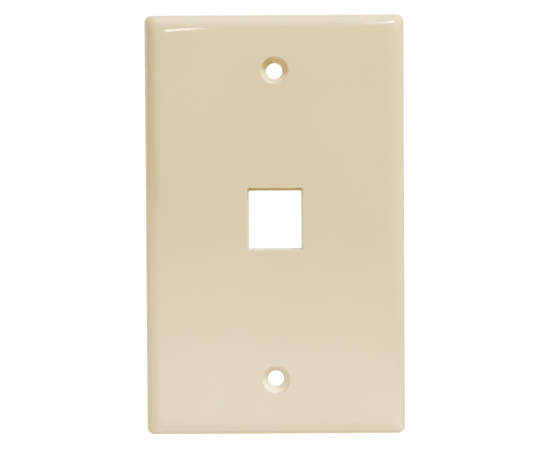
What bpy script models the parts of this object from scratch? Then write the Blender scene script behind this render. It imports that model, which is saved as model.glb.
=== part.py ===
"""A one-gang wall plate with one snap-in jack port, and the two screws that it is fixed with.

Metres, +Z up. The plate stands upright, as on a wall: its face looks towards -Y, the rim that
meets the wall lies in the plane Y = 0, and the origin is the middle of that plane. The plate is
one moulding. The screws aren't in their holes: each lies behind the face, in the channel between
the port's housing and a rib, and comes out backwards along +Y.
"""

import math

import bmesh
import bpy
from mathutils import Matrix, Vector

MM = 0.001
IN_WALL = 0.8 * MM  # how far a boss, rib or housing runs into the wall that it grows from
PAST = 1.0 * MM  # how far a cutter runs past the surface that it cuts

# The plate's outside
PLATE_WIDTH = 70.6 * MM
PLATE_HEIGHT = 114.3 * MM
PLATE_DEPTH = 6.4 * MM
CORNER_RADIUS = 2.0 * MM
EDGE_RADIUS = 4.0 * MM
SKIRT_DRAFT = 0.12 * MM
EDGE_STEPS = 7
CORNER_STEPS = 6

# The plate's hollow back
FACE_WALL = 2.3 * MM
RIM_WALL = 1.8 * MM
HOLLOW_DRAFT = 0.15 * MM
HOLLOW_CORNER_RADIUS = 1.2 * MM
HOLLOW_EDGE_RADIUS = 1.8 * MM
HOLLOW_STEPS = 4

# Screw holes, one above the other
SCREW_SPACING = 83.34 * MM
HOLE_DIAMETER = 4.4 * MM
COUNTERSINK_DIAMETER = 7.5 * MM
COUNTERSINK_ANGLE = math.radians(82)
BOSS_DIAMETER = 9.6 * MM
BOSS_HEIGHT = 0.9 * MM
INTO_BOSS = 0.5 * MM
ROUND_STEPS = 32

# The jack port: a straight window in the face, a pocket behind it, and two catches at the back
PORT_HEIGHT_ABOVE_MIDDLE = 1.7 * MM
PORT_WIDTH = 14.8 * MM
PORT_HEIGHT = 16.75 * MM
HOUSING_DEPTH = 9.8 * MM
HOUSING_WALL = 1.5 * MM
POCKET_ABOVE = 2.9 * MM
POCKET_BELOW = 1.5 * MM
CATCH_THICKNESS = 1.6 * MM
UPPER_CATCH_OVERHANG = 0.55 * MM
LOWER_CATCH_OVERHANG = 0.1 * MM

# Ribs on the back of the face
RIB_THICKNESS = 1.2 * MM
RIB_SHORT_OF_RIM = 1.6 * MM
CROSS_RIB_HEIGHTS = (26.0 * MM, -24.0 * MM)

# Number 6-32 oval-head machine screws, one inch long
SCREW_DIAMETER = 3.5 * MM
SCREW_LENGTH = 25.4 * MM
SCREW_HEAD_DIAMETER = 7.1 * MM
SCREW_CROWN = 1.25 * MM
SCREW_EDGE = 0.25 * MM
SCREW_TIP_CHAMFER = 0.6 * MM
SLOT_WIDTH = 1.1 * MM
SLOT_DEPTH = 1.5 * MM
SCREW_CLEARANCE = 0.35 * MM

# Derived places
FACE_FRONT = -PLATE_DEPTH
FACE_BACK = FACE_FRONT + FACE_WALL
PORT_BOTTOM = PORT_HEIGHT_ABOVE_MIDDLE - PORT_HEIGHT / 2
PORT_TOP = PORT_HEIGHT_ABOVE_MIDDLE + PORT_HEIGHT / 2
HOUSING_BACK = FACE_FRONT + HOUSING_DEPTH
HOUSING_HALF_WIDTH = PORT_WIDTH / 2 + HOUSING_WALL
HOUSING_TOP = PORT_TOP + POCKET_ABOVE + HOUSING_WALL
HOUSING_BOTTOM = PORT_BOTTOM - POCKET_BELOW - HOUSING_WALL
SCREW_OFFSET = HOUSING_HALF_WIDTH + SCREW_CLEARANCE + SCREW_HEAD_DIAMETER / 2
LONG_RIB_OFFSET = SCREW_OFFSET + SCREW_HEAD_DIAMETER / 2 + SCREW_CLEARANCE + RIB_THICKNESS / 2
SCREW_AXIS_Y = FACE_BACK + SCREW_CLEARANCE + SCREW_HEAD_DIAMETER / 2
SCREW_TOP = HOUSING_TOP

PLASTIC_COLOUR = (0.72, 0.62, 0.44, 1.0)
PAINT_COLOUR = (0.70, 0.60, 0.42, 1.0)


def clear_scene():
    for obj in list(bpy.data.objects):
        bpy.data.objects.remove(obj)


def make_material(name, colour, roughness, metallic=0.0):
    material = bpy.data.materials.new(name)
    material.use_nodes = True
    shader = material.node_tree.nodes["Principled BSDF"]
    shader.inputs["Base Color"].default_value = colour
    shader.inputs["Roughness"].default_value = roughness
    shader.inputs["Metallic"].default_value = metallic
    return material


def add_object(name, shape, smooth_angle=None):
    """Makes an object of a bmesh, which it frees."""
    bmesh.ops.recalc_face_normals(shape, faces=shape.faces)
    mesh = bpy.data.meshes.new(name)
    shape.to_mesh(mesh)
    shape.free()
    if smooth_angle is not None:
        mesh.shade_smooth()
        mesh.set_sharp_from_angle(angle=smooth_angle)
    obj = bpy.data.objects.new(name, mesh)
    bpy.context.scene.collection.objects.link(obj)
    return obj


def add_tool(name, shape):
    """A helper shape that a Boolean reads. It isn't a piece of the object."""
    tool = add_object(name, shape)
    tool.hide_render = True
    tool.display_type = "WIRE"
    return tool


def add_boolean(obj, tool, operation):
    modifier = obj.modifiers.new(f"{operation.lower()} {tool.name}", "BOOLEAN")
    modifier.object = tool
    modifier.operation = operation
    modifier.solver = "EXACT"


def rounded_rectangle(half_width, half_height, radius):
    """The (x, z) points of an upright rectangle with round corners, anticlockwise."""
    points = []
    for corner, (side_x, side_z) in enumerate(((1, 1), (-1, 1), (-1, -1), (1, -1))):
        for step in range(CORNER_STEPS + 1):
            angle = (corner + step / CORNER_STEPS) * math.pi / 2
            x = side_x * (half_width - radius) + radius * math.cos(angle)
            z = side_z * (half_height - radius) + radius * math.sin(angle)
            points.append((x, z))
    return points


def loft(sections):
    """A closed shape through (outline, y) sections with equally many points, capped at both ends."""
    shape = bmesh.new()
    rings = []
    for outline, y in sections:
        rings.append([shape.verts.new((x, y, z)) for x, z in outline])
    for ring, following in zip(rings, rings[1:]):
        for i in range(len(ring)):
            j = (i + 1) % len(ring)
            shape.faces.new((ring[i], ring[j], following[j], following[i]))
    shape.faces.new(rings[0])
    shape.faces.new(rings[-1])
    return shape


def plate_section(inset, y, radius):
    outline = rounded_rectangle(PLATE_WIDTH / 2 - inset, PLATE_HEIGHT / 2 - inset, radius)
    return outline, y


def outside_sections():
    """From the flat of the face, round its edge and down the skirt, to the rim."""
    sections = []
    for step in range(EDGE_STEPS + 1):
        angle = step / EDGE_STEPS * math.pi / 2
        inset = SKIRT_DRAFT + EDGE_RADIUS * (1 - math.sin(angle))
        y = FACE_FRONT + EDGE_RADIUS * (1 - math.cos(angle))
        sections.append(plate_section(inset, y, CORNER_RADIUS))
    sections.append(plate_section(0.0, 0.0, CORNER_RADIUS))
    return sections


def hollow_sections():
    """From the rim's inner edge to the back of the face."""
    sections = [plate_section(RIM_WALL, 0.0, HOLLOW_CORNER_RADIUS)]
    wall_inset = RIM_WALL + HOLLOW_DRAFT
    for step in range(HOLLOW_STEPS + 1):
        angle = step / HOLLOW_STEPS * math.pi / 2
        inset = wall_inset + HOLLOW_EDGE_RADIUS * (1 - math.cos(angle))
        y = FACE_BACK + HOLLOW_EDGE_RADIUS * (1 - math.sin(angle))
        sections.append(plate_section(inset, y, HOLLOW_CORNER_RADIUS))
    return sections


def box(low, high):
    shape = bmesh.new()
    bmesh.ops.create_cube(shape, size=1.0)
    low, high = Vector(low), Vector(high)
    bmesh.ops.transform(
        shape,
        matrix=Matrix.Translation((low + high) / 2) @ Matrix.Diagonal((*(high - low), 1.0)),
        verts=shape.verts,
    )
    return shape


def turned(profile, steps=ROUND_STEPS):
    """A solid of revolution about Z, from (radius, z) points. Only its two ends may be on the axis."""
    shape = bmesh.new()
    rings = []
    for radius, z in profile:
        if radius == 0.0:
            rings.append([shape.verts.new((0.0, 0.0, z))] * steps)
            continue
        angles = [2 * math.pi * i / steps for i in range(steps)]
        rings.append([shape.verts.new((radius * math.cos(a), radius * math.sin(a), z)) for a in angles])
    for ring, following in zip(rings, rings[1:]):
        for i in range(steps):
            j = (i + 1) % steps
            corners = (ring[i], ring[j], following[j], following[i])
            shape.faces.new(dict.fromkeys(corners))
    for ring, radius in ((rings[0], profile[0][0]), (rings[-1], profile[-1][0])):
        if radius > 0.0:
            shape.faces.new(ring)
    return shape


def turned_along_y(profile, height):
    """The same about a line along Y at this height, from (radius, y) points."""
    shape = turned(profile)
    # This turns Z to +Y, so that a profile's second number is its y.
    turn = Matrix.Translation((0.0, 0.0, height)) @ Matrix.Rotation(math.radians(-90), 4, "X")
    bmesh.ops.transform(shape, matrix=turn, verts=shape.verts)
    return shape


def screw_hole_cutter(height):
    hole = HOLE_DIAMETER / 2
    sink = COUNTERSINK_DIAMETER / 2
    slope = math.tan(COUNTERSINK_ANGLE / 2)
    depth = (sink - hole) / slope
    profile = [
        (sink + PAST * slope, FACE_FRONT - PAST),
        (hole, FACE_FRONT + depth),
        (hole, PAST),
    ]
    return turned_along_y(profile, height)


def boss(height):
    radius = BOSS_DIAMETER / 2
    return turned_along_y([(radius, FACE_BACK - IN_WALL), (radius, FACE_BACK + BOSS_HEIGHT)], height)


def back_ribs():
    """Two long ribs beside the port, and ribs that run up to each boss from four sides."""
    ribs = []
    back = -RIB_SHORT_OF_RIM
    front = FACE_BACK - IN_WALL
    half = RIB_THICKNESS / 2
    screw_height = SCREW_SPACING / 2
    boss_edge = BOSS_DIAMETER / 2 - INTO_BOSS
    side_reach = PLATE_WIDTH / 2 - RIM_WALL / 2
    end_reach = PLATE_HEIGHT / 2 - RIM_WALL / 2
    ribs.append(box((-half, front, HOUSING_TOP - half), (half, back, screw_height - boss_edge)))
    ribs.append(box((-half, front, boss_edge - screw_height), (half, back, HOUSING_BOTTOM + half)))
    for side in (-1, 1):
        x = side * LONG_RIB_OFFSET
        ribs.append(box((x - half, front, -end_reach), (x + half, back, end_reach)))
        inner, outer = sorted((side * boss_edge, side * side_reach))
        for height in (screw_height, -screw_height):
            ribs.append(box((inner, front, height - half), (outer, back, height + half)))
    for height in CROSS_RIB_HEIGHTS:
        ribs.append(box((-LONG_RIB_OFFSET, front, height - half), (LONG_RIB_OFFSET, back, height + half)))
    return ribs


def port_housing():
    return box(
        (-HOUSING_HALF_WIDTH, FACE_BACK - IN_WALL, HOUSING_BOTTOM),
        (HOUSING_HALF_WIDTH, HOUSING_BACK, HOUSING_TOP),
    )


def port_window_cutter():
    """The part of the port that a line of sight from the front passes right through."""
    half = PORT_WIDTH / 2
    return box(
        (-half, FACE_FRONT - PAST, PORT_BOTTOM + LOWER_CATCH_OVERHANG),
        (half, HOUSING_BACK + PAST, PORT_TOP - UPPER_CATCH_OVERHANG),
    )


def port_front_cutter():
    half = PORT_WIDTH / 2
    return box((-half, FACE_FRONT - PAST, PORT_BOTTOM), (half, FACE_BACK + PAST, PORT_TOP))


def port_pocket_cutter():
    """The room behind the face where a jack's hook and latch turn in, as far as the catches."""
    half = PORT_WIDTH / 2
    return box(
        (-half, FACE_BACK, PORT_BOTTOM - POCKET_BELOW),
        (half, HOUSING_BACK - CATCH_THICKNESS, PORT_TOP + POCKET_ABOVE),
    )


def make_plate():
    plate = add_object("wall_plate", loft(outside_sections() + hollow_sections()), math.radians(40))
    plate.data.materials.append(make_material("ivory_plastic", PLASTIC_COLOUR, 0.28))
    additions = [port_housing(), *back_ribs()]
    additions += [boss(side * SCREW_SPACING / 2) for side in (1, -1)]
    for number, shape in enumerate(additions):
        add_boolean(plate, add_tool(f"plate_addition_{number}", shape), "UNION")
    cuts = [port_front_cutter(), port_pocket_cutter(), port_window_cutter()]
    cuts += [screw_hole_cutter(side * SCREW_SPACING / 2) for side in (1, -1)]
    for number, shape in enumerate(cuts):
        add_boolean(plate, add_tool(f"plate_cut_{number}", shape), "DIFFERENCE")


def crown_profile(steps=4):
    """The oval top of the head, from its middle to its edge, as an arc of a circle."""
    half = SCREW_HEAD_DIAMETER / 2
    radius = (half**2 + SCREW_CROWN**2) / (2 * SCREW_CROWN)
    points = []
    for step in range(steps + 1):
        distance = half * step / steps
        points.append((distance, math.sqrt(radius**2 - distance**2) - radius + SCREW_CROWN))
    return points


def screw_profile():
    """(radius, z) with z = 0 at the edge of the head and the tip below."""
    head = SCREW_HEAD_DIAMETER / 2
    shank = SCREW_DIAMETER / 2
    cone = (head - shank) / math.tan(COUNTERSINK_ANGLE / 2)
    below = [
        (head, -SCREW_EDGE),
        (shank, -SCREW_EDGE - cone),
        (shank, -SCREW_LENGTH + SCREW_TIP_CHAMFER),
        (shank - SCREW_TIP_CHAMFER, -SCREW_LENGTH),
    ]
    return crown_profile() + below


def make_screw(name, side, material):
    screw = add_object(name, turned(screw_profile(), 24), math.radians(40))
    screw.data.materials.append(material)
    half = SCREW_HEAD_DIAMETER / 2 + PAST
    slot_floor = SCREW_CROWN - SLOT_DEPTH
    slot = box((-half, -SLOT_WIDTH / 2, slot_floor), (half, SLOT_WIDTH / 2, SCREW_CROWN + PAST))
    slot = add_tool(f"{name}_slot", slot)
    slot.parent = screw
    add_boolean(screw, slot, "DIFFERENCE")
    screw.location = (side * SCREW_OFFSET, SCREW_AXIS_Y, SCREW_TOP - SCREW_CROWN)


def main():
    clear_scene()
    make_plate()
    paint = make_material("ivory_paint_on_steel", PAINT_COLOUR, 0.35)
    make_screw("mounting_screw_left", -1, paint)
    make_screw("mounting_screw_right", 1, paint)


main()
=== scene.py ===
import math

import bmesh
import bpy
import numpy as np
from mathutils import Matrix, Vector


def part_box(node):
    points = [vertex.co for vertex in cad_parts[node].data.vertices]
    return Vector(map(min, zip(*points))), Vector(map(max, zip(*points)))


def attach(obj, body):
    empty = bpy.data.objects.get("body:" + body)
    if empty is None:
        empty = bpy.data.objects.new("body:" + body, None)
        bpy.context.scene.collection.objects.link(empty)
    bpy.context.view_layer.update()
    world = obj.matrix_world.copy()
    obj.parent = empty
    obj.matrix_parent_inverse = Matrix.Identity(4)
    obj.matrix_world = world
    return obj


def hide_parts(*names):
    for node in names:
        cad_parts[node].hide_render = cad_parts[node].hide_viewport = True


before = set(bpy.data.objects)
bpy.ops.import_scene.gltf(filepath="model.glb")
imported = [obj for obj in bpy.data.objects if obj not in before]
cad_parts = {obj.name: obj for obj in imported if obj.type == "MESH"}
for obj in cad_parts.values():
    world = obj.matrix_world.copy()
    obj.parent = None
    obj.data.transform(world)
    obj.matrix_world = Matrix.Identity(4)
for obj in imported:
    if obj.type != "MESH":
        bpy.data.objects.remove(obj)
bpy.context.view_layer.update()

MM = 0.001
plate_low, plate_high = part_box("wall_plate")

# The plate, in its CAD frame: +Z up, the face looks towards -Y, the rim is in the plane Y = 0.
WIDTH = plate_high.x - plate_low.x
HEIGHT = plate_high.z - plate_low.z
FACE = plate_low.y
FACE_BACK = FACE + 2.3 * MM
HOUSING_BACK = plate_high.y
CORNER_RADIUS = 2.0 * MM
EDGE_RADIUS = 4.0 * MM
EDGE_LEAD_INSET = 4.9 * MM
EDGE_LEAD_DROP = 0.3 * MM
SKIRT_DRAFT = 0.12 * MM
RIM_WALL = 1.8 * MM
HOLLOW_DRAFT = 0.15 * MM
HOLLOW_CORNER_RADIUS = 1.2 * MM
HOLLOW_EDGE_RADIUS = 1.8 * MM
CORNER_STEPS = 16

# Screw holes
HOLE_HEIGHTS = (41.67 * MM, -41.67 * MM)
HOLE_RADIUS = 2.2 * MM
COUNTERSINK_RADIUS = 3.75 * MM
COUNTERSINK_HALF_ANGLE = math.radians(41)
BOSS_RADIUS = 4.8 * MM
BOSS_BACK = FACE_BACK + 0.9 * MM
HOLE_SIDES = 96

# Jack port
PORT_HALF_WIDTH = 7.4 * MM
PORT_BOTTOM = -6.675 * MM
PORT_TOP = 10.075 * MM
PORT_CORNER = 0.35 * MM
SILL_RISE = 0.3 * MM
POCKET_ABOVE = 2.9 * MM
POCKET_BELOW = 1.5 * MM
CATCH_THICKNESS = 1.6 * MM
UPPER_CATCH = 0.55 * MM
LOWER_CATCH = 0.1 * MM
HOUSING_WALL = 1.5 * MM
HOUSING_ROUND = 0.6 * MM
PORT_CORNER_STEPS = 6

# Ribs
RIB_BACK = -1.6 * MM
RIB_STEP = 0.06 * MM
RIB_HALF = 0.6 * MM
RIB_DRAFT = 0.08 * MM
RIB_FILLET = 0.3 * MM
RIB_FOOT = 0.006 * MM
RIB_ROOT = -0.7 * MM
RIB_OVERLAP = 0.5 * MM
SCREW_CLEARANCE = 0.35 * MM
CROSS_RIB_HEIGHTS = (26.0 * MM, -24.0 * MM)

# Marks that the mould left behind the face: round ejector pins, in columns (x, heights) that are mirrored
# left and right, and the gate
EJECTOR_COLUMNS = (
    (24.8 * MM, (47.8 * MM, 18.0 * MM, -18.0 * MM, -47.8 * MM)),
    (8.8 * MM, (32.0 * MM, -31.0 * MM)),
)
EJECTOR_RADIUS = 2.5 * MM
EJECTOR_DEPTH = 0.1 * MM
GATE_PLACE = (-6.0 * MM, -17.0 * MM)
GATE_RADIUS = 1.1 * MM
GATE_HEIGHT = 0.25 * MM
MARK_SIDES = 40


def rounded_path(stations):
    """Rows of numbers that follow a polyline, its corners rounded.

    A station is (values, cut, steps): the corner's values, how far from it the arc starts and ends,
    measured in whichever value changes most, and how many steps the arc has. A cut of 0 is sharp.
    """
    rows = []
    for i, (values, cut, steps) in enumerate(stations):
        here = np.array(values, float)
        if cut == 0.0:
            rows.append(here)
            continue
        before = np.array(stations[i - 1][0], float) - here
        after = np.array(stations[i + 1][0], float) - here
        start = here + before / np.abs(before).max() * cut
        end = here + after / np.abs(after).max() * cut
        cosine = before @ after / math.sqrt((before @ before) * (after @ after))
        weight = math.sqrt(max(0.0, (1 - cosine) / 2))
        for step in range(steps + 1):
            u = step / steps
            a, b, c = (1 - u) ** 2, 2 * weight * u * (1 - u), u**2
            rows.append((a * start + b * here + c * end) / (a + b + c))
    return rows


def rectangle(left, right, bottom, top, radius, y, steps):
    """The points of an upright rectangle with round corners in the plane of this y."""
    points = []
    centres = ((right, top, -1, -1), (left, top, 1, -1), (left, bottom, 1, 1), (right, bottom, -1, 1))
    for corner, (x, z, inward_x, inward_z) in enumerate(centres):
        for step in range(steps + 1):
            angle = (corner + step / steps) * math.pi / 2
            across = x + inward_x * radius + radius * math.cos(angle)
            up = z + inward_z * radius + radius * math.sin(angle)
            points.append(Vector((across, y, up)))
    return points


def circle(x, z, radius, y, steps):
    """The points of an upright circle in the plane of this y."""
    points = []
    for step in range(steps):
        angle = 2 * math.pi * step / steps
        points.append(Vector((x + radius * math.cos(angle), y, z + radius * math.sin(angle))))
    return points


def skin(shape, outlines):
    """Joins outlines of equally many points with quads, and returns the first and last loops' edges."""
    loops = [[shape.verts.new(point) for point in outline] for outline in outlines]
    for loop, following in zip(loops, loops[1:]):
        for i in range(len(loop)):
            j = (i + 1) % len(loop)
            shape.faces.new((loop[i], loop[j], following[j], following[i]))
    return loop_edges(shape, loops[0]), loop_edges(shape, loops[-1])


def loop_edges(shape, loop):
    edges = []
    for i, vertex in enumerate(loop):
        edges.append(shape.edges.get((vertex, loop[(i + 1) % len(loop)])))
    return edges


def fill(shape, edges, facing):
    """Fills a flat stretch between an outer loop and the loops inside it."""
    bmesh.ops.triangle_fill(shape, use_beauty=True, use_dissolve=False, edges=edges, normal=facing)


def outer_skin(shape):
    """The rolled edge, skirt, rim and inner wall, from the flat of the face to the flat behind it."""
    hollow = RIM_WALL + HOLLOW_DRAFT
    stations = [
        ((EDGE_LEAD_INSET + 1.5 * MM, CORNER_RADIUS, FACE), 0.0, 0),
        ((EDGE_LEAD_INSET, CORNER_RADIUS, FACE), 0.9 * MM, 8),
        ((SKIRT_DRAFT, CORNER_RADIUS, FACE + EDGE_LEAD_DROP), EDGE_RADIUS - SKIRT_DRAFT, 24),
        ((0.0, CORNER_RADIUS, 0.0), 0.25 * MM, 4),
        ((RIM_WALL, HOLLOW_CORNER_RADIUS, 0.0), 0.2 * MM, 4),
        ((hollow, HOLLOW_CORNER_RADIUS, FACE_BACK), HOLLOW_EDGE_RADIUS, 12),
        ((hollow + HOLLOW_EDGE_RADIUS + 0.5 * MM, HOLLOW_CORNER_RADIUS, FACE_BACK), 0.0, 0),
    ]
    outlines = []
    for inset, radius, y in rounded_path(stations):
        right = WIDTH / 2 - inset
        top = HEIGHT / 2 - inset
        outlines.append(rectangle(-right, right, -top, top, radius, y, CORNER_STEPS))
    return skin(shape, outlines)


def hole_skin(shape, height):
    """A screw hole at this height: countersink, bore, and the outside of the boss."""
    depth = (COUNTERSINK_RADIUS - HOLE_RADIUS) / math.tan(COUNTERSINK_HALF_ANGLE)
    stations = [
        ((COUNTERSINK_RADIUS + 0.6 * MM, FACE), 0.0, 0),
        ((COUNTERSINK_RADIUS, FACE), 0.25 * MM, 6),
        ((HOLE_RADIUS, FACE + depth), 0.1 * MM, 4),
        ((HOLE_RADIUS, BOSS_BACK), 0.1 * MM, 3),
        ((BOSS_RADIUS, BOSS_BACK), 0.2 * MM, 4),
        ((BOSS_RADIUS + 0.04 * MM, FACE_BACK), 0.3 * MM, 4),
        ((BOSS_RADIUS + 0.9 * MM, FACE_BACK), 0.0, 0),
    ]
    return skin(shape, [circle(0.0, height, radius, y, HOLE_SIDES) for radius, y in rounded_path(stations)])


def port_skin(shape):
    """The jack port and its housing: window, pocket, catches, and the outside of the housing."""
    half, low, high = PORT_HALF_WIDTH, PORT_BOTTOM, PORT_TOP
    outer_half = half + HOUSING_WALL
    outer_low = low - POCKET_BELOW - HOUSING_WALL
    outer_high = high + POCKET_ABOVE + HOUSING_WALL
    catch_front = HOUSING_BACK - CATCH_THICKNESS
    flare = 0.08 * MM
    apron = 0.9 * MM
    draft = 0.04 * MM
    stations = [
        ((half + apron, low - apron, high + apron, PORT_CORNER + apron, FACE), 0.0, 0),
        ((half, low, high, PORT_CORNER, FACE), 0.25 * MM, 6),
        ((half - draft, low + SILL_RISE, high - draft, PORT_CORNER, FACE_BACK), 0.12 * MM, 3),
        ((half, low - POCKET_BELOW, high + POCKET_ABOVE, PORT_CORNER, FACE_BACK), 0.2 * MM, 3),
        ((half, low - POCKET_BELOW, high + POCKET_ABOVE, PORT_CORNER, catch_front), 0.2 * MM, 3),
        ((half - 2 * draft, low + LOWER_CATCH, high - UPPER_CATCH, PORT_CORNER, catch_front), 0.15 * MM, 3),
        ((half - draft, low + LOWER_CATCH, high - UPPER_CATCH, PORT_CORNER, HOUSING_BACK), 0.3 * MM, 4),
        ((outer_half, outer_low, outer_high, HOUSING_ROUND, HOUSING_BACK), 0.3 * MM, 5),
        ((outer_half + flare, outer_low - flare, outer_high + flare, HOUSING_ROUND, FACE_BACK), 0.45 * MM, 5),
        ((outer_half + apron, outer_low - apron, outer_high + apron, 1.4 * MM, FACE_BACK), 0.0, 0),
    ]
    outlines = []
    for half_width, bottom, top, radius, y in rounded_path(stations):
        outlines.append(rectangle(-half_width, half_width, bottom, top, radius, y, PORT_CORNER_STEPS))
    return skin(shape, outlines)


def disc_skin(shape, x, z, radius, step_out):
    """A round mark on the flat behind the face: sunk where step_out is negative, proud where positive."""
    soft = 0.04 * MM
    stations = [
        ((radius + 0.5 * MM, FACE_BACK), 0.0, 0),
        ((radius, FACE_BACK), soft, 2),
        ((radius - soft, FACE_BACK + step_out), soft, 2),
        ((radius - 0.4 * MM, FACE_BACK + step_out), 0.0, 0),
    ]
    return skin(shape, [circle(x, z, r, y, MARK_SIDES) for r, y in rounded_path(stations)])


def ejector_places():
    places = []
    for side in (-1, 1):
        for across, heights in EJECTOR_COLUMNS:
            for height in heights:
                places.append((side * across, height))
    return places


def moulding_body():
    """The whole moulding but its ribs, as one closed mesh."""
    shape = bmesh.new()
    face_edges, back_edges = outer_skin(shape)
    for front, back in [port_skin(shape)] + [hole_skin(shape, height) for height in HOLE_HEIGHTS]:
        face_edges += front
        back_edges += back
    marks = [disc_skin(shape, x, z, EJECTOR_RADIUS, -EJECTOR_DEPTH) for x, z in ejector_places()]
    marks.append(disc_skin(shape, *GATE_PLACE, GATE_RADIUS, GATE_HEIGHT))
    for outer, inner in marks:
        back_edges += outer
        fill(shape, inner, (0, 1, 0))
    fill(shape, face_edges, (0, -1, 0))
    fill(shape, back_edges, (0, 1, 0))
    bmesh.ops.recalc_face_normals(shape, faces=shape.faces)
    return new_object("moulding_body", shape)


def new_object(name, shape):
    mesh = bpy.data.meshes.new(name)
    shape.to_mesh(mesh)
    shape.free()
    obj = bpy.data.objects.new(name, mesh)
    bpy.context.scene.collection.objects.link(obj)
    return obj


def rib(start, end, back):
    """A rib with a rounded top and a fillet at its foot, from one (x, z) to another.

    Ribs that cross have different tops, and so different feet too: no two of their faces share a plane.
    """
    height = back - FACE_BACK
    foot_height = RIB_FOOT + 0.05 * (RIB_BACK - back)
    foot = RIB_HALF + RIB_FILLET
    half = [
        ((0.0, height), 0.0, 0),
        ((RIB_HALF - RIB_DRAFT, height), 0.16 * MM, 4),
        ((RIB_HALF, foot_height), 0.25 * MM, 4),
        ((foot, foot_height), 0.0, 0),
        ((foot, RIB_ROOT), 0.0, 0),
    ]
    right = rounded_path(half)
    section = right + [np.array((-across, up)) for across, up in reversed(right[1:])]
    along = Vector((end[0] - start[0], 0.0, end[1] - start[1])).normalized()
    across_way = along.cross(Vector((0.0, 1.0, 0.0)))
    outlines = []
    for x, z in (start, end):
        foot_point = Vector((x, FACE_BACK, z))
        outlines.append([foot_point + across_way * a + Vector((0.0, up, 0.0)) for a, up in section])
    shape = bmesh.new()
    first, last = skin(shape, outlines)
    bmesh.ops.contextual_create(shape, geom=first)
    bmesh.ops.contextual_create(shape, geom=last)
    bmesh.ops.recalc_face_normals(shape, faces=shape.faces)
    return new_object("rib", shape)


def all_ribs():
    """The long ribs beside the screws, the middle ribs, and the cross ribs at and between the bosses."""
    screw_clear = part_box("mounting_screw_right")[1].x
    long_x = screw_clear + SCREW_CLEARANCE + RIB_HALF
    side_reach = WIDTH / 2 - RIM_WALL / 2
    end_reach = HEIGHT / 2 - RIM_WALL / 2
    boss_edge = BOSS_RADIUS - RIB_OVERLAP
    housing_high = PORT_TOP + POCKET_ABOVE + HOUSING_WALL / 2
    housing_low = PORT_BOTTOM - POCKET_BELOW - HOUSING_WALL / 2
    screw_z = HOLE_HEIGHTS[0]
    lower = RIB_BACK - RIB_STEP
    lowest = RIB_BACK - 2 * RIB_STEP
    ribs = [
        rib((0.0, housing_high), (0.0, screw_z - boss_edge), lowest),
        rib((0.0, boss_edge - screw_z), (0.0, housing_low), lowest),
    ]
    for side in (-1, 1):
        ribs.append(rib((side * long_x, -end_reach), (side * long_x, end_reach), RIB_BACK))
        for height in HOLE_HEIGHTS:
            ribs.append(rib((side * boss_edge, height), (side * side_reach, height), lower))
    for height in CROSS_RIB_HEIGHTS:
        ribs.append(rib((-long_x, height), (long_x, height), lower))
    return ribs


def join_by_boolean(body, tools, operation):
    for tool in tools:
        modifier = body.modifiers.new(operation, "BOOLEAN")
        modifier.operation = operation
        modifier.solver = "EXACT"
        modifier.object = tool
    graph = bpy.context.evaluated_depsgraph_get()
    mesh = bpy.data.meshes.new_from_object(body.evaluated_get(graph))
    body.modifiers.clear()
    body.data = mesh
    for tool in tools:
        bpy.data.objects.remove(tool)


def finish_normals(obj, sharp_degrees):
    obj.data.shade_smooth()
    obj.data.set_sharp_from_angle(angle=math.radians(sharp_degrees))
    weighted = obj.modifiers.new("weighted normals", "WEIGHTED_NORMAL")
    weighted.mode = "FACE_AREA"
    weighted.weight = 80
    weighted.keep_sharp = True


def make_plate(material):
    plate = moulding_body()
    join_by_boolean(plate, all_ribs(), "UNION")
    plate.name = "wall_plate_moulding"
    plate.data.name = plate.name
    plate.data.materials.clear()
    plate.data.materials.append(material)
    finish_normals(plate, 42)
    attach(plate, "plate")
    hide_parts("wall_plate")


# The screws: number 6-32 oval-head machine screws with a slot
SCREW_HEAD_RADIUS = 3.55 * MM
SCREW_RADIUS = 1.75 * MM
SCREW_ROOT_RADIUS = 1.32 * MM
SCREW_NECK_RADIUS = 1.48 * MM
SCREW_NECK = 0.35 * MM
SCREW_PITCH = 25.4 / 32 * MM
SCREW_CROWN = 1.25 * MM
SCREW_EDGE = 0.25 * MM
SCREW_EDGE_ROUND = 0.06 * MM
SCREW_HALF_ANGLE = math.radians(41)
SCREW_LENGTH = 25.4 * MM
PAINTED_DEPTH = 2.4 * MM
SLOT_HALF_WIDTH = 0.55 * MM
SLOT_DEPTH = 1.5 * MM
THREAD_ROOT_SHARE = 0.12
THREAD_FLANK_SHARE = 0.72
THREAD_RUN_OUT = 1.2 * SCREW_PITCH
THREAD_ROWS_PER_TURN = 14
TIP_CHAMFER = 0.55 * MM
TIP_SLOPE = 0.9
CROWN_STEPS = 12
SCREW_SIDES = 48


def limited(value):
    return min(max(value, 0.0), 1.0)


def thread_radius(z, angle, top, tip):
    """The thread's surface at this height and angle, fading out under the head and at the tip."""
    turn = (z / SCREW_PITCH - angle / (2 * math.pi)) % 1.0
    ridge = 1.0 - abs(2.0 * turn - 1.0)
    ridge = limited((ridge - THREAD_ROOT_SHARE) / THREAD_FLANK_SHARE)
    radius = SCREW_ROOT_RADIUS + (SCREW_RADIUS - SCREW_ROOT_RADIUS) * ridge
    run_out = limited((top - z) / THREAD_RUN_OUT)
    radius = SCREW_NECK_RADIUS + (radius - SCREW_NECK_RADIUS) * run_out
    return min(radius, SCREW_RADIUS - TIP_CHAMFER + (z - tip) * TIP_SLOPE)


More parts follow.
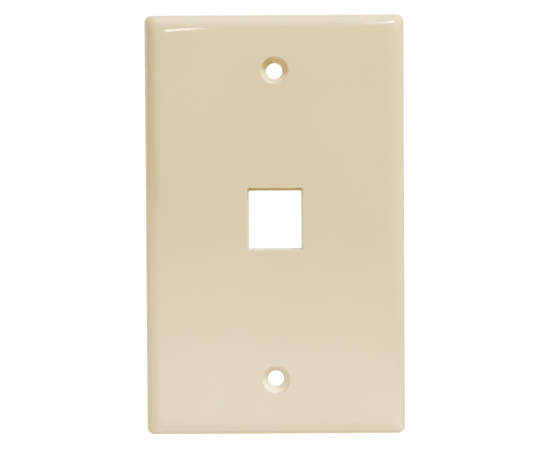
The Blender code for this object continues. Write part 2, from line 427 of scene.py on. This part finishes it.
def screw_outlines():
    """Rings of (radius at each angle, z) down the screw, z = 0 at the edge of the head, and the angles."""
    sphere = (SCREW_HEAD_RADIUS**2 + SCREW_CROWN**2) / (2 * SCREW_CROWN)
    crown_radius = SCREW_HEAD_RADIUS - SCREW_EDGE_ROUND
    angles = [2 * math.pi * i / SCREW_SIDES for i in range(SCREW_SIDES)]
    rings = []
    for step in range(1, CROWN_STEPS + 1):
        radius = crown_radius * step / CROWN_STEPS
        rings.append(([radius] * SCREW_SIDES, math.sqrt(sphere**2 - radius**2) - sphere + SCREW_CROWN))
    cone_end = -SCREW_EDGE - (SCREW_HEAD_RADIUS - SCREW_NECK_RADIUS) / math.tan(SCREW_HALF_ANGLE)
    top = cone_end - SCREW_NECK
    tip = -SCREW_LENGTH
    stations = [
        ((crown_radius, 0.03 * MM), 0.0, 0),
        ((SCREW_HEAD_RADIUS, 0.0), 0.03 * MM, 3),
        ((SCREW_HEAD_RADIUS, -SCREW_EDGE), 0.05 * MM, 3),
        ((SCREW_NECK_RADIUS, cone_end), 0.3 * MM, 4),
        ((SCREW_NECK_RADIUS, top), 0.0, 0),
    ]
    for radius, z in rounded_path(stations)[1:]:
        rings.append(([radius] * SCREW_SIDES, z))
    rows = math.ceil((top - tip) / SCREW_PITCH * THREAD_ROWS_PER_TURN)
    for row in range(1, rows + 1):
        z = top + (tip - top) * row / rows
        rings.append(([thread_radius(z, angle, top, tip) for angle in angles], z))
    return rings, angles


def make_screw(name, node, body, paint, steel):
    """A screw that stands where its CAD node is: painted at the top, bare zinc below."""
    rings, angles = screw_outlines()
    shape = bmesh.new()
    outlines = []
    for radii, z in rings:
        outlines.append([Vector((r * math.cos(a), r * math.sin(a), z)) for r, a in zip(radii, angles)])
    first, last = skin(shape, outlines)
    bmesh.ops.contextual_create(shape, geom=first)
    bmesh.ops.contextual_create(shape, geom=last)
    bmesh.ops.recalc_face_normals(shape, faces=shape.faces)
    screw = new_object(name, shape)
    join_by_boolean(screw, [slot_tool()], "DIFFERENCE")
    low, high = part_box(node)
    place = Vector(((low.x + high.x) / 2, (low.y + high.y) / 2, high.z - SCREW_CROWN))
    screw.data.transform(Matrix.Translation(place))
    screw.data.materials.clear()
    screw.data.materials.append(paint)
    screw.data.materials.append(steel)
    paint_end = place.z - PAINTED_DEPTH
    for face in screw.data.polygons:
        face.material_index = 1 if face.center.z < paint_end else 0
    finish_normals(screw, 40)
    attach(screw, body)
    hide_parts(node)


def slot_tool():
    """A block that cuts the screwdriver slot from the top of the head down."""
    shape = bmesh.new()
    bmesh.ops.create_cube(shape, size=1.0)
    stretch = Matrix.Diagonal((4 * SCREW_HEAD_RADIUS, 2 * SLOT_HALF_WIDTH, 2 * SLOT_DEPTH, 1.0))
    to_crown = Matrix.Translation((0.0, 0.0, SCREW_CROWN))
    bmesh.ops.transform(shape, matrix=to_crown @ stretch, verts=shape.verts)
    return new_object("slot_tool", shape)


class Nodes:
    """A node tree, with short calls for adding and joining nodes."""

    def __init__(self, tree):
        self.tree = tree
        coordinates = tree.nodes.new("ShaderNodeTexCoord")
        self.place = coordinates.outputs["Object"]
        self.direction = coordinates.outputs["Generated"]

    def add(self, kind, inputs=None, **settings):
        """Adds a node. An input is a value, or another node's output to join to it."""
        node = self.tree.nodes.new(kind)
        for setting, value in settings.items():
            setattr(node, setting, value)
        for socket, value in (inputs or {}).items():
            if isinstance(value, bpy.types.NodeSocket):
                self.tree.links.new(value, node.inputs[socket])
            else:
                node.inputs[socket].default_value = value
        return node

    def noise(self, size, detail=2.0, roughness=0.5):
        """Noise with bumps of about this size, in metres."""
        inputs = {"Vector": self.place, "Scale": 1.0 / size, "Detail": detail, "Roughness": roughness}
        return self.add("ShaderNodeTexNoise", inputs).outputs["Fac"]

    def ramp(self, value, low, high, to_low, to_high, smooth=False):
        inputs = {"Value": value, "From Min": low, "From Max": high, "To Min": to_low, "To Max": to_high}
        kind = "SMOOTHSTEP" if smooth else "LINEAR"
        return self.add("ShaderNodeMapRange", inputs, interpolation_type=kind).outputs["Result"]

    def spread(self, noise, low, high):
        """Stretches noise, which is mostly between 0.3 and 0.7, to go from low to high."""
        return self.ramp(noise, 0.3, 0.7, low, high)

    def mix_colour(self, factor, first, second):
        """Mixes two colours, which are the node's inputs 6 and 7."""
        inputs = {0: factor, 6: first, 7: second}
        return self.add("ShaderNodeMix", inputs, data_type="RGBA").outputs[2]

    def scaled(self, colour, strength):
        return self.add("ShaderNodeVectorMath", {0: colour, "Scale": strength}, operation="SCALE").outputs[0]

    def length(self, vector):
        return self.add("ShaderNodeVectorMath", {0: vector}, operation="LENGTH").outputs["Value"]

    def axes(self, vector):
        """The vector's x, y and z."""
        return self.add("ShaderNodeSeparateXYZ", {"Vector": vector}).outputs

    def background(self, colour, strength):
        return self.add("ShaderNodeBackground", {"Color": colour, "Strength": strength}).outputs[0]

    def mix_shader(self, factor, first, second):
        return self.add("ShaderNodeMixShader", {0: factor, 1: first, 2: second}).outputs[0]

    def bump(self, height, distance, strength, below=None):
        inputs = {"Height": height, "Distance": distance, "Strength": strength}
        if below is not None:
            inputs["Normal"] = below
        return self.add("ShaderNodeBump", inputs).outputs["Normal"]

    def maths(self, operation, first, second):
        return self.add("ShaderNodeMath", {0: first, 1: second}, operation=operation).outputs[0]

    def lobe(self, towards, sharpness, strength):
        """Light that comes from all round one direction, and fades away from it."""
        inputs = {0: self.direction, 1: Vector(towards).normalized()}
        dot = self.add("ShaderNodeVectorMath", inputs, operation="DOT_PRODUCT").outputs["Value"]
        facing = self.maths("MAXIMUM", dot, 0.0)
        return self.maths("MULTIPLY", self.maths("POWER", facing, sharpness), strength)


def new_material(name):
    """A new material, its nodes, and its shader's inputs."""
    material = bpy.data.materials.new(name)
    material.use_nodes = True
    nodes = Nodes(material.node_tree)
    return material, nodes, material.node_tree.nodes["Principled BSDF"].inputs


# Colours of the plastic's surface, and of the painted light and shade on the screw holes' and port's walls
SURFACE_DARKER = (0.764, 0.647, 0.445, 1)
SURFACE_PALER = (0.776, 0.661, 0.460, 1)
# The hole walls' pale colours are painted light, and the deep and darkest ones are painted shade
UPPER_HOLE_PAINTED_LIGHT = (0.800, 0.735, 0.600, 1)
LOWER_HOLE_PAINTED_LIGHT = (0.880, 0.805, 0.680, 1)
HOLE_PAINTED_SHADE = (0.735, 0.560, 0.290, 1)
HOLE_PAINTED_DARKEST_SHADE = (0.600, 0.420, 0.175, 1)
# The port walls' pale colour is painted light below, and the deep one is painted shade above
PORT_PAINTED_LIGHT = (0.860, 0.775, 0.620, 1)
PORT_PAINTED_SHADE = (0.800, 0.650, 0.268, 1)

# How far in from the outline the polish of the rim ends, and the sanding of the back is complete
POLISHED_RIM = 1.6 * MM
SANDED_INSIDE = 1.9 * MM


def painted_hole_light_and_shade(nodes, x, z):
    """The colour of the screw holes' walls, painted light and shade, and a mask that is 1 inside the holes.

    The walls are painted deeper in colour above and on the right as shade, darkest at the upper left, and
    pale below as painted light. The lower hole is paler than the upper one.
    """
    middle = nodes.maths("MULTIPLY", nodes.maths("SIGN", z, 0.0), HOLE_HEIGHTS[0])
    up = nodes.maths("SUBTRACT", z, middle)
    from_hole = nodes.length(nodes.add("ShaderNodeCombineXYZ", {"X": x, "Y": up}).outputs[0])
    in_hole = nodes.ramp(from_hole, COUNTERSINK_RADIUS + 0.15 * MM, COUNTERSINK_RADIUS - 0.1 * MM, 0.0, 1.0)
    upper = nodes.ramp(z, -HOLE_HEIGHTS[0], HOLE_HEIGHTS[0], 0.0, 1.0)
    # Painted light: the pale colour, paler on the lower hole
    pale = nodes.mix_colour(upper, LOWER_HOLE_PAINTED_LIGHT, UPPER_HOLE_PAINTED_LIGHT)
    up_right = nodes.maths("ADD", nodes.maths("MULTIPLY", x, 0.42), up)
    deepest = nodes.ramp(upper, 0.0, 1.0, 0.22, 1.0)
    depth = nodes.ramp(up_right, -1.0 * MM, 1.2 * MM, 0.0, deepest, smooth=True)
    # Painted shade deepens the walls above and on the right
    colour = nodes.mix_colour(depth, pale, HOLE_PAINTED_SHADE)
    up_left = nodes.maths("DIVIDE", nodes.maths("SUBTRACT", up, x), from_hole)
    darkest = nodes.ramp(upper, 0.0, 1.0, 0.35, 1.0)
    # The darkest painted shade, at the upper left
    darkness = nodes.ramp(up_left, 0.86, 1.41, 0.0, darkest)
    return nodes.mix_colour(darkness, colour, HOLE_PAINTED_DARKEST_SHADE), in_hole


def painted_port_light_and_shade(nodes, across, z):
    """The port walls' colour, painted shade deep above and painted light pale below, and a mask 1 inside the
    port.
    """
    up = nodes.maths("SUBTRACT", z, (PORT_TOP + PORT_BOTTOM) / 2)
    reach = (PORT_TOP - PORT_BOTTOM) / 2
    in_width = nodes.ramp(across, PORT_HALF_WIDTH + 0.2 * MM, PORT_HALF_WIDTH, 0.0, 1.0)
    in_height = nodes.ramp(nodes.maths("ABSOLUTE", up, 0.0), reach + 0.2 * MM, reach, 0.0, 1.0)
    # Painted shade above, painted light below
    depth = nodes.ramp(up, -0.6 * reach, 0.6 * reach, 0.0, 1.0)
    return nodes.mix_colour(depth, PORT_PAINTED_LIGHT, PORT_PAINTED_SHADE), nodes.maths("MULTIPLY", in_width, in_height)


def sanded_back(nodes, across, y, along):
    """A mask that is 1 on the back of the moulding, inside the rim."""
    behind = nodes.ramp(y, FACE_BACK - 0.6 * MM, FACE_BACK - 0.1 * MM, 0.0, 1.0)
    inside_x = nodes.ramp(across, WIDTH / 2 - POLISHED_RIM, WIDTH / 2 - SANDED_INSIDE, 0.0, 1.0)
    inside_z = nodes.ramp(along, HEIGHT / 2 - POLISHED_RIM, HEIGHT / 2 - SANDED_INSIDE, 0.0, 1.0)
    return nodes.maths("MULTIPLY", behind, nodes.maths("MULTIPLY", inside_x, inside_z))


def plastic_roughness(nodes, dull):
    """Polished, or sanded where dull is 1, and a little uneven everywhere."""
    smear = nodes.noise(9 * MM, 4.0, 0.6)
    polish = nodes.spread(smear, 0.06, 0.09)
    sanded = nodes.spread(smear, 0.34, 0.42)
    return nodes.add("ShaderNodeMix", {0: dull, 2: polish, 3: sanded}, data_type="FLOAT").outputs[0]


def plastic_bumps(nodes, behind):
    """Long waves and a faint orange peel all over, and a fine grain on the back."""
    wave = nodes.bump(nodes.noise(7 * MM, 1.0), 0.02 * MM, 0.10)
    peel = nodes.bump(nodes.noise(0.9 * MM, 2.0), 0.004 * MM, 0.10, wave)
    grain = nodes.maths("MULTIPLY", nodes.noise(0.16 * MM, 3.0), behind)
    return nodes.bump(grain, 0.02 * MM, 0.35, peel)


def plastic():
    """Ivory plastic from a mould that is polished in front and only sanded behind."""
    material, nodes, shader = new_material("ivory_moulded_plastic")
    link = nodes.tree.links.new
    x, y, z = nodes.axes(nodes.place)
    across = nodes.maths("ABSOLUTE", x, 0.0)
    along = nodes.maths("ABSOLUTE", z, 0.0)
    tone = nodes.ramp(nodes.noise(26 * MM, 2.0), 0.35, 0.65, 0.0, 1.0)
    surface = nodes.mix_colour(tone, SURFACE_DARKER, SURFACE_PALER)
    # The walls of the screw holes and the port get painted light and painted shade in place of the surface
    # colour
    hole_wall, in_hole = painted_hole_light_and_shade(nodes, x, z)
    port_wall, in_port = painted_port_light_and_shade(nodes, across, z)
    wall = nodes.mix_colour(in_port, hole_wall, port_wall)
    sunk = nodes.ramp(y, FACE + 0.05 * MM, FACE + 0.3 * MM, 0.0, 1.0)
    in_wall = nodes.maths("MULTIPLY", nodes.maths("MAXIMUM", in_hole, in_port), sunk)
    link(nodes.mix_colour(in_wall, surface, wall), shader["Base Color"])
    behind = sanded_back(nodes, across, y, along)
    dull = nodes.maths("MAXIMUM", behind, in_wall)
    link(plastic_roughness(nodes, dull), shader["Roughness"])
    link(plastic_bumps(nodes, behind), shader["Normal"])
    shader["IOR"].default_value = 1.54
    shader["Subsurface Weight"].default_value = 0.15
    shader["Subsurface Radius"].default_value = (1.0, 0.7, 0.4)
    shader["Subsurface Scale"].default_value = 1.0 * MM
    return material


PAINT_DARKER = (0.750, 0.620, 0.405, 1)
PAINT_PALER = (0.790, 0.655, 0.435, 1)
ZINC_DARKER = (0.52, 0.53, 0.55, 1)
ZINC_PALER = (0.66, 0.66, 0.65, 1)


def screw_paint():
    """Ivory paint on the screws' heads, with flecks and a slight texture."""
    material, nodes, shader = new_material("ivory_screw_paint")
    link = nodes.tree.links.new
    fleck = nodes.spread(nodes.noise(1.5 * MM, 3.0), 0.0, 1.0)
    link(nodes.mix_colour(fleck, PAINT_DARKER, PAINT_PALER), shader["Base Color"])
    link(nodes.spread(nodes.noise(0.8 * MM, 3.0), 0.22, 0.34), shader["Roughness"])
    link(nodes.bump(nodes.noise(0.35 * MM, 2.0), 0.01 * MM, 0.35), shader["Normal"])
    return material


def zinc_plate():
    """Zinc-plated steel, for the screws' shanks."""
    material, nodes, shader = new_material("zinc_plated_steel")
    link = nodes.tree.links.new
    fleck = nodes.spread(nodes.noise(1.2 * MM, 4.0), 0.0, 1.0)
    link(nodes.mix_colour(fleck, ZINC_DARKER, ZINC_PALER), shader["Base Color"])
    link(nodes.spread(nodes.noise(0.6 * MM, 4.0), 0.24, 0.40), shader["Roughness"])
    link(nodes.bump(nodes.noise(0.2 * MM, 3.0), 0.006 * MM, 0.4), shader["Normal"])
    shader["Metallic"].default_value = 1.0
    return material


# The camera stands close in front of the plate, a little above its middle, and leans a little.
CAMERA_PLACE = Vector((0.0, -240.0 * MM, 3.55 * MM))
CAMERA_DOWN = 0.0149
CAMERA_LEAN = 0.0056
CAMERA_LENS = 56.95


def make_camera():
    data = bpy.data.cameras.new("camera")
    data.lens = CAMERA_LENS
    data.sensor_width = 36.0
    data.clip_start = 0.01
    data.clip_end = 20.0
    camera = bpy.data.objects.new("camera", data)
    camera.location = CAMERA_PLACE
    camera.rotation_euler = (math.pi / 2 - CAMERA_DOWN, CAMERA_LEAN, 0.0)
    bpy.context.scene.collection.objects.link(camera)
    bpy.context.scene.camera = camera


def area_light(name, place, target, size, radiance):
    """A light of this radiance, so that its power follows its size."""
    data = bpy.data.lights.new(name, "AREA")
    data.shape = "ELLIPSE"
    data.size, data.size_y = size
    data.energy = radiance * 4 * (math.pi / 4 * data.size * data.size_y)
    light = bpy.data.objects.new(name, data)
    light.location = place
    light.rotation_euler = (Vector(target) - Vector(place)).to_track_quat("-Z", "Y").to_euler()
    light.visible_camera = False
    bpy.context.scene.collection.objects.link(light)
    return light


def edge_highlight(name, x, inset, tilt, size, lean, radiance):
    """A thin light a metre away, placed where one spot near the top edge reflects it to the camera.

    The spot is at this x and this far in from the edge, where the face tilts up and sideways by so many
    degrees.
    """
    point = Vector((x, FACE, HEIGHT / 2 - inset))
    up, sideways = (math.radians(degrees) for degrees in tilt)
    normal = Vector((math.sin(sideways), -math.cos(up), math.sin(up))).normalized()
    view = (CAMERA_PLACE - point).normalized()
    way = 2 * normal.dot(view) * normal - view
    light = area_light(name, point + way, point, size, radiance)
    light.rotation_euler.rotate_axis("Z", math.radians(lean))
    light.data.color = STREAK_COLOUR
    light.visible_diffuse = False


# Colours of the lights and of what the plate reflects
KEY_COLOUR = (0.90, 0.97, 1.0)
WINDOW_COLOUR = (0.82, 0.97, 1.30)
STREAK_COLOUR = (0.80, 0.95, 1.25)
FILL_COLOUR = (1.0, 0.95, 0.86, 1.0)
FILL_BEHIND_COLOUR = (0.97, 0.965, 0.95, 1.0)
REFLECTED_COLOUR = (0.66, 0.82, 1.0, 1.0)
SKY_COLOUR = (0.45, 0.80, 1.55, 1.0)
LEFT_WALL_COLOUR = (1.7, 0.8, 0.1, 1.0)
TABLE_COLOUR = (0.77, 0.82, 0.86, 1.0)
BEHIND_RIGHT_COLOUR = (0.60, 0.72, 0.86, 1.0)
BEHIND_LEFT_COLOUR = (1.14, 1.12, 0.74, 1.0)

# The white that the camera sees around the object
WHITE = (1.0, 1.0, 1.0, 1.0)
WHITE_STRENGTH = 1.05


def make_lights():
    """A key light and a window light for matt surfaces, and two thin lights that only reflections show."""
    middle = (0.0, 0.0, 0.0)
    key = area_light("key", (0.62, -1.0, 0.70), target=middle, size=(0.50, 0.50), radiance=7.0)
    window = area_light("window", (0.52, -0.38, 1.16), target=middle, size=(0.55, 0.55), radiance=3.6)
    for light, colour in ((key, KEY_COLOUR), (window, WINDOW_COLOUR)):
        light.data.color = colour
        light.visible_glossy = False
    edge_highlight(
        "left_streak", x=-26.0 * MM, inset=4.65 * MM, tilt=(2.1, 0.0),
        size=(0.024, 0.105), lean=-43.0, radiance=8.0,
    )
    edge_highlight(
        "right_streak", x=30.0 * MM, inset=2.95 * MM, tilt=(17.0, 6.5),
        size=(0.47, 0.20), lean=0.0, radiance=6.5,
    )


def down_and_left(nodes, x, z, left_share):
    """How far a direction points down, plus a share of how far it points left."""
    down = nodes.maths("MULTIPLY", z, -1.0)
    return nodes.maths("ADD", down, nodes.maths("MULTIPLY", x, -left_share))


def reflected_ahead(nodes, x, y, z):
    """What reflections show in front of the plate: dim on the left, bright above, below and on the right."""
    walls = nodes.ramp(x, -0.85, 0.0, 0.3, 1.5, smooth=True)
    ceiling = nodes.lobe((0.0, -0.42, 0.91), sharpness=10.0, strength=0.3)
    sky = nodes.maths("MAXIMUM", nodes.ramp(z, 0.28, 0.42, 0.0, 1.0), nodes.ramp(x, 0.28, 0.42, 0.0, 0.4))
    wall_colour = nodes.mix_colour(sky, REFLECTED_COLOUR, SKY_COLOUR)
    far_left = nodes.ramp(x, -0.35, -0.75, 0.0, 1.0)
    wall_colour = nodes.mix_colour(far_left, wall_colour, LEFT_WALL_COLOUR)
    wall_light = nodes.scaled(wall_colour, nodes.maths("ADD", walls, ceiling))
    below = down_and_left(nodes, x, z, 0.12)
    in_front = nodes.ramp(y, 1.0, 0.0, 0.0, 1.0)
    table = nodes.maths("MULTIPLY", nodes.ramp(below, 0.0, 0.23, 0.0, 2.7, smooth=True), in_front)
    near = nodes.ramp(below, 0.4, 0.65, 0.0, 1.0)
    table_light = nodes.scaled(nodes.mix_colour(near, REFLECTED_COLOUR, TABLE_COLOUR), table)
    return nodes.add("ShaderNodeVectorMath", {0: wall_light, 1: table_light}, operation="ADD").outputs[0]


def reflected_behind(nodes, x, z):
    """What reflections show behind the plate: paler and warmer towards the lower left."""
    low_left = nodes.ramp(down_and_left(nodes, x, z, 0.6), 0.0, 0.35, 0.0, 1.0)
    return nodes.mix_colour(low_left, BEHIND_RIGHT_COLOUR, BEHIND_LEFT_COLOUR)


def make_world():
    """White to look at. Reflections and matt surfaces each get their own light from all round."""
    world = bpy.data.worlds.new("studio")
    bpy.context.scene.world = world
    world.use_nodes = True
    world.node_tree.nodes.clear()
    nodes = Nodes(world.node_tree)
    x, y, z = nodes.axes(nodes.direction)
    ahead = nodes.background(reflected_ahead(nodes, x, y, z), 1.0)
    behind = nodes.background(reflected_behind(nodes, x, z), 1.0)
    glossy = nodes.mix_shader(nodes.ramp(y, -0.15, 0.6, 0.0, 1.0), ahead, behind)
    to_behind = nodes.ramp(y, 0.0, 0.6, 0.0, 1.0)
    fill_colour = nodes.mix_colour(to_behind, FILL_COLOUR, FILL_BEHIND_COLOUR)
    diffuse = nodes.background(fill_colour, nodes.ramp(y, 0.0, 0.6, 0.66, 1.05))
    seen = nodes.background(WHITE, WHITE_STRENGTH)
    path = nodes.add("ShaderNodeLightPath").outputs
    lit = nodes.mix_shader(path["Is Glossy Ray"], diffuse, glossy)
    light = nodes.mix_shader(path["Is Camera Ray"], lit, seen)
    nodes.add("ShaderNodeOutputWorld", {"Surface": light})


FLOOR_HEIGHT = -0.20
FLOOR_RADIUS = 0.50


def make_floor():
    """A pale disc below the plate, which fades into the white around it. Reflections don't show it."""
    shape = bmesh.new()
    bmesh.ops.create_circle(shape, cap_ends=True, segments=96, radius=FLOOR_RADIUS)
    floor = new_object("floor", shape)
    floor.location = (0.0, 0.0, FLOOR_HEIGHT)
    floor.visible_glossy = False
    floor.visible_diffuse = False
    floor.visible_shadow = False
    material, nodes, shader = new_material("pale_floor")
    shader["Base Color"].default_value = (0.86, 0.86, 0.85, 1.0)
    shader["Roughness"].default_value = 0.7
    shader["Emission Color"].default_value = WHITE
    shader["Emission Strength"].default_value = 0.25
    edge = nodes.ramp(nodes.length(nodes.place), 0.3 * FLOOR_RADIUS, FLOOR_RADIUS, 0.0, 1.0, smooth=True)
    glow = nodes.add("ShaderNodeEmission", {"Color": WHITE, "Strength": WHITE_STRENGTH}).outputs[0]
    plain = nodes.tree.nodes["Principled BSDF"].outputs[0]
    mix = nodes.mix_shader(edge, plain, glow)
    nodes.tree.links.new(mix, nodes.tree.nodes["Material Output"].inputs["Surface"])
    floor.data.materials.append(material)


bpy.context.scene.view_settings.view_transform = "Standard"
make_camera()
make_world()
make_lights()
make_floor()
make_plate(plastic())
paint = screw_paint()
steel = zinc_plate()
make_screw("left_mounting_screw", "mounting_screw_left", "left_screw", paint, steel)
make_screw("right_mounting_screw", "mounting_screw_right", "right_screw", paint, steel)
